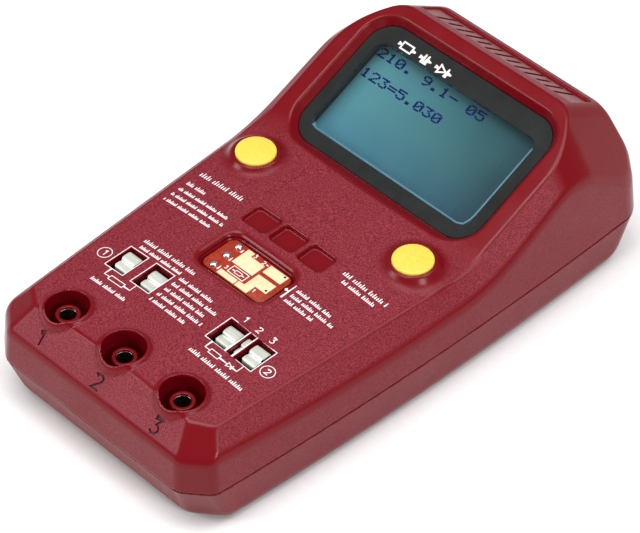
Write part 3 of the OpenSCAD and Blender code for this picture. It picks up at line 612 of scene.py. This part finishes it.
def turned(name, profile, place, around=96, closed=False):
    """A profile of (radius, height) turned about an upright axis."""
    points, rings = [], []
    for radius, height in profile:
        if radius < 1e-6:
            rings.append([len(points)])
            points.append((place[0], place[1], height))
            continue
        rings.append(list(range(len(points), len(points) + around)))
        for i in range(around):
            a = 2 * math.pi * i / around
            points.append((place[0] + radius * math.cos(a), place[1] + radius * math.sin(a), height))
    faces = []
    for low, high in zip(rings, rings[1:] + ([rings[0]] if closed else [])):
        for i in range(around):
            j = (i + 1) % around
            if len(low) == 1:
                faces.append((low[0], high[j], high[i]))
            elif len(high) == 1:
                faces.append((low[i], low[j], high[0]))
            else:
                faces.append((low[i], low[j], high[j], high[i]))
    mesh = bpy.data.meshes.new(name)
    mesh.from_pydata([tuple(v * MM for v in p) for p in points], [], faces)
    ob = object_of(name, mesh)
    outwards(ob)
    return shaded(ob)


def outwards(ob):
    """Recalculates a closed mesh's face directions."""
    bm = bmesh.new()
    bm.from_mesh(ob.data)
    bmesh.ops.recalc_face_normals(bm, faces=bm.faces)
    bm.to_mesh(ob.data)
    bm.free()
    return ob


def round_rect(x0, x1, y0, y1, radius, steps=8):
    centres = ((x1 - radius, y1 - radius), (x0 + radius, y1 - radius),
               (x0 + radius, y0 + radius), (x1 - radius, y0 + radius))
    points = []
    for quarter, (cx, cy) in enumerate(centres):
        for i in range(steps + 1):
            a = math.pi / 2 * (quarter + i / steps)
            points.append((cx + radius * math.cos(a), cy + radius * math.sin(a)))
    return points


def slabs(name, outlines, low, high, bevel=0.0, place=Matrix.Identity(4)):
    """Flat plates from outlines, with their upper edges bevelled."""
    bm = bmesh.new()
    for outline in outlines:
        face = bm.faces.new([bm.verts.new((x, y, high)) for x, y in outline])
        grown = bmesh.ops.extrude_face_region(bm, geom=[face], use_keep_orig=True)["geom"]
        lower = [v for v in grown if isinstance(v, bmesh.types.BMVert)]
        bmesh.ops.translate(bm, verts=lower, vec=(0, 0, low - high))
    if bevel:
        rim = [e for e in bm.edges if all(abs(v.co.z - high) < 1e-6 for v in e.verts)]
        bmesh.ops.bevel(bm, geom=rim, offset=bevel, segments=2, affect="EDGES", profile=0.5)
    bmesh.ops.recalc_face_normals(bm, faces=bm.faces)
    bmesh.ops.transform(bm, matrix=Matrix.Scale(MM, 4) @ place, verts=bm.verts)
    mesh = bpy.data.meshes.new(name)
    bm.to_mesh(mesh)
    bm.free()
    return shaded(object_of(name, mesh))


def stroked(name, strokes, lift, place=None, depth=0.06):
    """Flat ribbons along strokes of (points, width, closed), lifted onto a surface."""
    points, faces = [], []
    for path, width, closed in strokes:
        path = [Vector(p) for p in path]
        start, count = len(points), len(path)
        for i, p in enumerate(path):
            before = path[i - 1] if i or closed else p
            after = path[(i + 1) % count] if i < count - 1 or closed else p
            a, b = (p - before).normalized(), (after - p).normalized()
            a, b = (a or b), (b or a)
            normal = Vector((-(a + b)[1], (a + b)[0])).normalized()
            reach = width / 2 / max(normal.dot(Vector((-a[1], a[0]))), 0.4)
            for side in (-reach, reach):
                x, y = p + normal * side
                top = lift(x, y)
                points += [(x, y, top), (x, y, top - depth)]
        spans = count if closed else count - 1
        for i in range(spans):
            a, b = start + 4 * i, start + 4 * ((i + 1) % count)
            faces += [(a, b, b + 2, a + 2), (a + 1, a + 3, b + 3, b + 1)]
            faces += [(a, a + 1, b + 1, b), (a + 2, b + 2, b + 3, a + 3)]
        if not closed:
            end = start + 4 * (count - 1)
            faces += [(start, start + 2, start + 3, start + 1), (end, end + 1, end + 3, end + 2)]
    mesh = bpy.data.meshes.new(name)
    if place is not None:
        points = [tuple(place @ Vector(p)) for p in points]
    mesh.from_pydata([tuple(v * MM for v in p) for p in points], [], faces)
    return outwards(object_of(name, mesh))

# ---------- strokes for marks ----------

GLYPHS = {
    "1": [(0.1, 0.78), (0.38, 1), (0.38, 0)],
    "2": [(0.05, 0.8), (0.18, 0.96), (0.48, 0.97), (0.64, 0.8), (0.6, 0.58), (0.05, 0), (0.68, 0)],
    "3": [(0.05, 1), (0.6, 1), (0.32, 0.6), (0.56, 0.52),
          (0.66, 0.28), (0.5, 0.04), (0.22, 0), (0.02, 0.14)]}


def mark(digit, x, y, height, width=0.16):
    """The stroke of a numeral from 1 to 3, its lower left corner at x, y."""
    return [([(x + px * height, y + py * height) for px, py in GLYPHS[digit]], width, False)]


def dashes(x0, x1, y, height, width=0.15, beat=0):
    """A row of upright ticks in groups, which stands in for a line of print."""
    strokes, x, i = [], x0, beat
    while x < x1:
        reach = height * (1, 0.7, 0.7, 1, 0.7)[i % 5]
        strokes.append(([(x, y), (x, y + reach)], width, False))
        x += height * (0.9 if i % 7 == 6 else 0.45)
        i += 1
    return strokes


def circle(x, y, radius, width=0.2, count=40):
    path = [(x + radius * math.cos(2 * math.pi * i / count), y + radius * math.sin(2 * math.pi * i / count))
            for i in range(count)]
    return [(path, width, True)]


def rectangle(x0, x1, y0, y1):
    return [(x0, y0), (x1, y0), (x1, y1), (x0, y1)]


def box(x0, x1, y0, y1, width=0.2):
    return [(rectangle(x0, x1, y0, y1), width, True)]


def line(points, width=0.2):
    return [(points, width, False)]


def resistor(x, y, length, height, width=0.2):
    return box(x, x + length, y - height / 2, y + height / 2, width)


def deck_height(x, y):
    """Just above the deck, so that ink lies on it."""
    return DECK_Z - DECK_CROWN * x * x - DECK_FALL * (y - DECK_Y) + 0.03


def deck_print():
    s = []
    # port frames
    for x0, x1 in ((-24.1, -18.0), (-15.4, -9.2), (9.6, 24.3)):
        s += box(x0, x1, PORT_Y[0] - 0.2, PORT_Y[1] + 0.2)
    for x in (15.9, 18.15):
        s += line([(x, PORT_Y[0] - 0.2), (x, PORT_Y[1] + 0.2)])
    # a resistor bridges the first port, a resistor and a diode the second
    s += line([(-21.6, -45.2), (-21.6, -47.5), (-19.8, -47.5)])
    s += resistor(-19.8, -47.5, 4.6, 1.3)
    s += line([(-15.2, -47.5), (-13.1, -47.5), (-13.1, -45.2)])
    s += line([(12.0, -45.2), (12.0, -47.5), (13.6, -47.5)])
    s += resistor(13.6, -47.5, 3.0, 1.3)
    s += line([(16.6, -47.5), (19.2, -47.5)])
    s += [([(19.2, -48.15), (19.2, -46.85), (20.6, -47.5)], 0.2, True)]
    s += line([(20.7, -48.15), (20.7, -46.85)]) + line([(20.7, -47.5), (22.2, -47.5), (22.2, -45.2)])
    s += circle(-27.0, -42.5, 1.75) + mark("1", -27.35, -43.3, 1.6, 0.24)
    s += circle(26.9, -42.4, 1.75) + mark("2", 26.4, -43.2, 1.6, 0.24)
    for i, x in enumerate((11.9, 16.2, 20.5)):
        s += mark("123"[i], x, -35.9, 1.7, 0.22)
    # captions: rows of ticks where the print runs
    for i, (x0, x1, y, h) in enumerate((
            (-22.6, -11.4, -50.9, 1.15), (10.3, 27.3, -50.9, 1.25),
            (-31.0, -16.8, -8.6, 1.6),
            (-31.0, -25.2, -12.9, 1.25), (-31.0, -14.4, -15.5, 1.05),
            (-31.0, -13.6, -17.9, 1.05), (-31.0, -15.2, -20.3, 1.05),
            (-23.0, -6.2, -33.9, 1.3), (-22.2, -8.8, -36.0, 1.05),
            (-7.6, 3.6, -37.2, 1.15), (-7.6, 7.2, -39.5, 1.15), (-7.6, 5.2, -41.8, 1.15),
            (-7.6, 6.6, -44.1, 1.15), (-7.6, 3.4, -46.4, 1.15),
            (14.0, 24.6, -20.7, 1.15), (14.0, 27.2, -22.7, 1.15), (14.0, 22.4, -24.7, 1.15),
            (17.2, 30.6, -8.9, 1.4), (18.8, 28.8, -11.0, 1.2))):
        s += dashes(x0, x1, y, h, 0.17, i)
    # bracket and arrow towards the surface-mount board
    s += line([(12.6, -24.4), (12.6, -19.2)]) + line([(12.6, -21.8), (11.6, -21.8)])
    s += line([(11.9, -21.4), (11.5, -21.8), (11.9, -22.2)], 0.24)
    return s


def window_print():
    """A row of component symbols above the display."""
    y, w = 29.75, 0.42
    s = line([(-21.6, y), (-20.4, y)], w) + box(-20.4, -17.2, y - 0.95, y + 0.95, w)
    s += line([(-17.2, y), (-16.0, y)], w)
    s += line([(-14.6, y), (-13.2, y)], w) + line([(-13.2, y - 1.3), (-13.2, y + 1.3)], w)
    s += line([(-12.2, y - 1.3), (-12.2, y + 1.3)], w) + line([(-12.2, y), (-10.8, y)], w)
    s += line([(-9.4, y), (-8.2, y)], w) + [([(-8.2, y - 1.15), (-8.2, y + 1.15), (-6.0, y)], w, True)]
    s += line([(-5.6, y - 1.25), (-5.6, y + 1.25)], w) + line([(-5.6, y), (-4.2, y)], w)
    return s


# dot-matrix signs: seven rows, each a five-bit number whose set bits are dots
DOTS = {
    "0": (14, 17, 19, 21, 25, 17, 14), "1": (4, 12, 4, 4, 4, 4, 14), "2": (14, 17, 1, 2, 4, 8, 31),
    "3": (31, 2, 4, 2, 1, 17, 14), "5": (31, 16, 30, 1, 1, 17, 14), "9": (14, 17, 17, 15, 1, 2, 12),
    "=": (0, 0, 31, 0, 31, 0, 0), "-": (0, 0, 0, 31, 0, 0, 0), ".": (0, 0, 0, 0, 0, 12, 12)}


def reading():
    """Two rows of dot-matrix numerals: each digit is seven rows of five dots."""
    outlines = []
    for text, left, top in (("210. 9.1- 05", -26.9, 27.9), ("123=5.030", -26.9, 21.5)):
        for i, letter in enumerate(text):
            for row, bits in enumerate(DOTS.get(letter, ())):
                for column in range(5):
                    if bits >> (4 - column) & 1:
                        x, y = left + 2.95 * i + 0.5 * column, top - 0.375 * row
                        outlines.append([(x, y - 0.43), (x + 0.6, y - 0.43), (x + 0.6, y), (x, y)])
    return outlines


# ---------- pieces ----------


def leaning(y, z, degrees):
    """A frame on a face that leans about X."""
    return Matrix.Translation((0, y, z)) @ Matrix.Rotation(math.radians(degrees), 4, "X")


def numeral_cutters():
    """Prisms for the numerals engraved before the sockets."""
    place = leaning(*SOCKET_NUMERALS)
    return [
        stroked("cut", mark(str(i + 2), i * JACK_PITCH - 1.3, -1.8, 3.6, 0.55), lambda x, y: 2, place, 2.35)
        for i in (-1, 0, 1)]


def band_cutter():
    """Slanted notches along the recessed band of the rear face."""
    bars = []
    for i in range(13):
        x, half = -19.2 + 3.2 * i, (3.2, 2.2, 2.8)[i % 3]
        bars.append([(x - 0.55 - 0.3 * half, -half), (x + 0.55 - 0.3 * half, -half),
                     (x + 0.55 + 0.3 * half, half), (x - 0.55 + 0.3 * half, half)])
    return slabs("cut", bars, -1.2, 1, place=leaning(*REAR_BAND))


def make_shells(materials):
    top = shell_piece(
        "top_shell", top_cover, (-45.3, -73.6, 12.2), (45.3, 73.6, 50.5), STEP, SHELL_FACES,
        [*numeral_cutters(), band_cutter()])
    piece(top, "case", ["top_cover"], materials["shell"])
    bottom = shell_piece(
        "bottom_shell", bottom_cover, (-45.3, -73.6, -0.8), (45.3, 73.6, 22), STEP, SHELL_FACES)
    piece(bottom, "case", ["bottom_cover"], materials["shell"])
    door = shell_piece(
        "sliding_door", battery_door, (-29.5, 33.6, -0.7), (29.5, 73.6, 9.6), STEP * 0.85, DOOR_FACES)
    piece(door, "door", ["battery_door"], materials["shell"])


def dome(radius):
    """Height of a button cap's crown at a distance from its middle."""
    return CAP_TOP - CAP_DOME + math.sqrt(CAP_DOME ** 2 - radius ** 2)


def make_buttons(materials):
    for side, sign in (("left", -1), ("right", 1)):
        profile = softened(
            [(0, 22.8), (6.5, 22.8), (6.5, 24.0), (CAP_RADIUS, 24.0),
             (CAP_RADIUS, dome(CAP_RADIUS)), (4.0, dome(4.0))],
            [0.15, 0.15, 0.15, 0.5])
        profile += [(r, dome(r)) for r in (3.2, 2.4, 1.6, 0.8, 0)]
        cap = turned(f"cap_{side}", profile, (sign * BUTTON[0], BUTTON[1]))
        piece(cap, f"{side}_button", [f"button_{side}"], materials["cap"])


def make_sockets(materials):
    for i in (-1, 0, 1):
        place = (i * JACK_PITCH, JACK_Y)
        low = BOARD_TOP + 0.2
        profile = softened(
            [(2.42, low), (5.1, low), (5.1, low + 1.4), (2.985, low + 1.4), (2.985, 26.9),
             (2.04, 26.9), (2.04, 26.32), (2.42, 26.32), (2.42, low)],
            [0.1, 0.2, 0.3, 0.3, 0.25, 0.06, 0.05])
        tube = turned(f"insulator_{i + 2}", profile[:-1], place, closed=True)
        values = np.ones(len(tube.data.vertices), np.float32)
        tube.data.attributes.new("polish", "FLOAT", "POINT").data.foreach_set("value", values)
        piece(tube, "case", [f"jack_tube_{i + 2}"], materials["shell"])
        profile = softened(
            [(0, 6.5), (2.4, 6.5), (2.4, 26.3), (2.0, 26.3), (2.0, 7.5), (0, 7.5)], [0.3, 0.12, 0.16, 0.2])
        sleeve = turned(f"sleeve_{i + 2}", profile, place, 64)
        piece(sleeve, "case", [f"jack_contact_{i + 2}"], materials["contact"])


def make_window(materials):
    outer = round_rect(-29.22, 29.22, -3.62, 33.52, 6.92, 12)
    inner = round_rect(-26.0, 26.0, 0.3, 27.9, 3.0, 12)
    rings = [
        [(x, y, -1.5) for x, y in outer], [(x, y, -0.15) for x, y in outer],
        [(x, y, 0.0) for x, y in round_rect(-29.07, 29.07, -3.47, 33.37, 6.77, 12)],
        [(x, y, 0.0) for x, y in inner], [(x, y, -1.5) for x, y in inner]]
    count = len(outer)
    points = [p for ring in rings for p in ring]
    faces = []
    for r in range(len(rings)):
        low, high = r * count, (r + 1) % len(rings) * count
        faces += [(low + i, low + (i + 1) % count, high + (i + 1) % count, high + i) for i in range(count)]
    mesh = bpy.data.meshes.new("window_border")
    mesh.from_pydata([tuple(ON_FACE @ Vector(p) * MM) for p in points], [], faces)
    border = shaded(outwards(object_of("window_border", mesh)), 30)
    piece(border, "case", ["display_window"], materials["window"])
    pane = slabs("window_pane", [round_rect(-26.3, 26.3, 0.0, 28.2, 3.3, 12)], -0.9, -0.02, place=ON_FACE)
    piece(pane, "case", ["display_window"], materials["pane"])
    # painted highlight: a teal strip on the pane's bevelled lower and right edges stands in for the backlight
    # they catch
    path = [(-24.6, 1.2), (-23.2, 0.62), (23.2, 0.62), (24.8, 1.2), (25.5, 2.9), (25.72, 4.5), (25.72, 25.6)]
    rim = stroked("pane_edge_glint", [(path, 0.4, False)], lambda x, y: 0.005, ON_FACE, 0.02)
    piece(rim, "case", ["display_window"], materials["painted_edge_glint"])
    symbols = stroked("window_symbols", window_print(), lambda x, y: 0.02, ON_FACE, 0.03)
    piece(symbols, "case", ["display_window"], materials["ink"])
    glass = slabs("crystal_panel", [round_rect(-28.5, 28.5, -3.0, 31.0, 0.3, 3)], -5.2, -4.1, 0.08, ON_FACE)
    piece(glass, "case", ["lcd_glass"], materials["lcd"])
    cells = slabs("reading", reading(), -4.12, -4.06, place=ON_FACE)
    piece(cells, "case", ["lcd_glass"], materials["lcd_ink"])


def clip_piece(name, low, high, material):
    """Two gently arched leaves folded from one strip, with a leg behind and a curled lip in front."""
    side = 0.25 if high - low < 3 else 0.7
    left, right = low + side, high - side
    half, mid, thick = (right - left) / 2, (left + right) / 2, 0.4
    rear, step, front = -37.8, -40.9, -43.3
    # stations along the strip: y, z and how far its sides draw in
    path = [(rear, BOARD_TOP + 0.6, 0), (rear, 26.6, 0), (rear - 0.05, 27.5, 0.06), (rear - 0.22, 27.74, 0.2)]
    for i in range(1, 9):
        t = i / 9
        y = rear - 0.3 + (step - rear + 0.5) * t
        path.append((y, 27.8 + 0.07 * math.sin(math.pi * t), 0.2 * abs(2 * t - 1) ** 6))
    path += [(step + 0.14, 27.72, 0.2), (step + 0.02, 27.45, 0.2)]
    path += [(step - 0.12, 27.18, 0.2), (step - 0.3, 27.12, 0.15)]
    for i in range(1, 8):
        t = i / 8
        y = step - 0.3 + (front - step + 0.5) * t
        path.append((y, 27.13 + 0.1 * math.sin(math.pi * t), 0.05 + 0.2 * max(2 * t - 1, 0) ** 5))
    path += [(front + 0.16, 26.98, 0.3), (front + 0.02, 26.7, 0.4), (front, 26.0, 0.45), (front, 25.3, 0.5)]
    limit = half * 0.3
    across = (-1, -0.6, -0.2, 0.2, 0.6, 1)
    points, faces = [], []
    for i, (y, z, inset) in enumerate(path):
        a, b = path[max(i - 1, 0)], path[min(i + 1, len(path) - 1)]
        ty, tz = b[0] - a[0], b[1] - a[1]
        size = math.hypot(ty, tz)
        ny, nz = tz / size, -ty / size
        width = half - min(inset, limit)
        for u in across:
            points.append((mid + width * u, y, z))
        for u in across:
            points.append((mid + width * u, y - ny * thick, z - nz * thick))
    n = len(across)
    for i in range(len(path) - 1):
        a, b = 2 * n * i, 2 * n * (i + 1)
        for j in range(n - 1):
            faces.append((a + j, a + j + 1, b + j + 1, b + j))
            faces.append((a + n + j, b + n + j, b + n + j + 1, a + n + j + 1))
        faces.append((a, b, b + n, a + n))
        faces.append((a + n - 1, a + 2 * n - 1, b + 2 * n - 1, b + n - 1))
    for a in (0, 2 * n * (len(path) - 1)):
        faces += [(a + j, a + n + j, a + n + j + 1, a + j + 1) for j in range(n - 1)]
    mesh = bpy.data.meshes.new(name)
    mesh.from_pydata([tuple(v * MM for v in p) for p in points], [], faces)
    clip = shaded(outwards(object_of(f"{name}_leaves", mesh)), 50)
    piece(clip, "case", [name], material)


def make_test_board(materials):
    board = slabs("test_board", [round_rect(-9.95, 9.95, -28.45, -17.45, 1.9)], 26.3, 27.3, 0.08)
    piece(board, "case", ["smd_board"], materials["smd_red"])
    pads = [
        [(-4.7, -23.3), (2.0, -23.3), (2.0, -19.1), (-2.6, -19.1), (-2.6, -17.75), (-4.7, -17.75)],
        rectangle(2.8, 8.6, -20.7, -17.8), rectangle(-4.7, 0.8, -28.2, -26.6),
        [(1.1, -28.2), (5.1, -28.2), (5.1, -25.2), (8.5, -25.2),
         (8.5, -21.8), (2.8, -21.8), (2.8, -26.5), (1.1, -26.5)]]
    piece(slabs("pads", pads, 27.28, 27.36, 0.03), "case", ["smd_board"], materials["pad"])
    s = box(-3.2, 1.7, -26.1, -23.8, 0.22)
    s += resistor(-1.7, -24.95, 1.9, 0.9, 0.18) + line([(-2.6, -24.95), (-1.7, -24.95)], 0.18)
    s += line([(0.2, -24.95), (1.1, -24.95)], 0.18)
    for y0, y1 in ((-19.8, -18.7), (-23.6, -22.3), (-27.4, -26.0)):
        s += line([(-5.35, y0), (-5.35, y1)], 0.18)
    s += mark("3", -2.2, -18.75, 1.0, 0.17) + mark("2", 0.7, -18.85, 1.0, 0.17)
    s += line([(1.8, -18.4), (2.5, -18.4)], 0.16)
    s += mark("3", -4.5, -25.9, 0.9, 0.16) + mark("1", 5.5, -26.9, 1.0, 0.17)
    printing = stroked("board_print", s, lambda x, y: 27.33, depth=0.04)
    piece(printing, "case", ["smd_board"], materials["ink"])
    for i, y in enumerate((-18.3, -24.4)):
        hole = turned(f"via_{i + 1}", [(0, 27.3), (0.34, 27.3), (0.34, 27.385), (0, 27.385)], (7.8, y), 24)
        piece(hole, "case", ["smd_board"], materials["chip"])
    for i, y in enumerate((-18.8, -22.7, -26.9)):
        profile = [(0, BOARD_TOP), (0.4, BOARD_TOP), (0.4, 27.25), (1.02, 27.25)]
        for j in range(8):
            a = j / 8 * math.pi / 2
            profile.append((math.cos(a), 27.34 + 0.66 * math.sin(a)))
        profile += [(0, 28.0)]
        joint = turned(f"solder_{i + 1}", profile, (-7.0, y), 40)
        piece(joint, "case", ["smd_pins"], materials["tin"])


CARRIED = {
    "lcd_backlight": "diffuser", "lcd_bezel": "bezel_steel", "lcd_board": "board",
    "lcd_ribbon": "film", "main_board": "board", "microcontroller": "chip", "crystal": "tin",
    "capacitor": "sleeve_blue", "regulator": "chip", "ribbon_socket": "white_plastic",
    "plunger_left": "black_plastic", "plunger_right": "black_plastic",
    "switch_left": "black_plastic", "switch_right": "black_plastic",
    "port1_holder": "black_plastic", "port2_holder": "black_plastic",
    "discharge_resistor": "resistor", "battery": "battery_can", "battery_snap": "black_plastic",
    "lead_red": "wire_red", "lead_black": "wire_black", "battery_header": "white_plastic",
    "case_screws": "screw", "board_screws": "screw", "lcd_screws": "screw"}


def make_carried(materials):
    """The CAD's own solids that are shown as they are, with new materials."""
    for name, material in CARRIED.items():
        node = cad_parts[name]
        node.data.materials.clear()
        node.data.materials.append(materials[material])


# ---------- camera, light and floor ----------


def make_camera():
    """The photograph's viewpoint: a long lens, half from the right and half from above."""
    azimuth, elevation = math.radians(45.153), math.radians(44.589)
    distance = 763.81 * MM
    target = Vector((7.423, -6.588, 22.5)) * MM
    back = Vector((
        math.sin(azimuth) * math.cos(elevation),
        -math.cos(azimuth) * math.cos(elevation),
        math.sin(elevation)))
    data = bpy.data.cameras.new("camera")
    data.sensor_fit = "HORIZONTAL"
    data.angle = math.radians(11.133)
    data.clip_start = 0.05
    camera = bpy.data.objects.new("camera", data)
    camera.location = target + back * distance
    camera.rotation_euler = back.to_track_quat("Z", "Y").to_euler()
    bpy.context.scene.collection.objects.link(camera)
    bpy.context.scene.camera = camera


def area_light(name, place, aim, size, watts):
    data = bpy.data.lights.new(name, "AREA")
    data.shape = "RECTANGLE"
    data.size, data.size_y = size
    data.energy = watts
    light = bpy.data.objects.new(name, data)
    light.location = place
    light.rotation_euler = (Vector(aim) - Vector(place)).to_track_quat("-Z", "Y").to_euler()
    bpy.context.scene.collection.objects.link(light)


def make_studio():
    world = bpy.data.worlds.new("studio")
    bpy.context.scene.world = world
    world.use_nodes = True
    world.node_tree.nodes["Background"].inputs["Color"].default_value = (1, 1, 1, 1)
    world.node_tree.nodes["Background"].inputs["Strength"].default_value = 0.3
    aim = (0, 0, 0.02)
    area_light("key", (-0.1, -0.25, 1.25), aim, (0.7, 0.7), 10)
    area_light("over", (0.4, 0.35, 1.15), aim, (0.8, 0.8), 8)
    area_light("front", (-0.62, -0.85, 0.62), aim, (0.45, 0.45), 6)
    area_light("side", (0.95, -0.15, 0.58), aim, (0.3, 0.3), 4)
    bpy.ops.mesh.primitive_plane_add(size=4, location=(0, 0, 0))
    floor = bpy.context.object
    floor.name = "floor"
    pale = surface("floor", (0.84, 0.84, 0.835), (0.86, 0.86, 0.855), 2, (0.6, 0.7), 0.01)
    floor.data.materials.append(pale)
    bpy.context.scene.view_settings.view_transform = "Standard"


materials = make_materials()
make_camera()
make_studio()
make_carried(materials)
make_shells(materials)
make_buttons(materials)
make_sockets(materials)
make_window(materials)
for clip, (low, high) in PORT_SLOTS.items():
    clip_piece(clip, low, high, materials["clip"])
make_test_board(materials)
ink = stroked("deck_print", deck_print(), deck_height)
piece(ink, "case", ["top_cover"], materials["ink"])
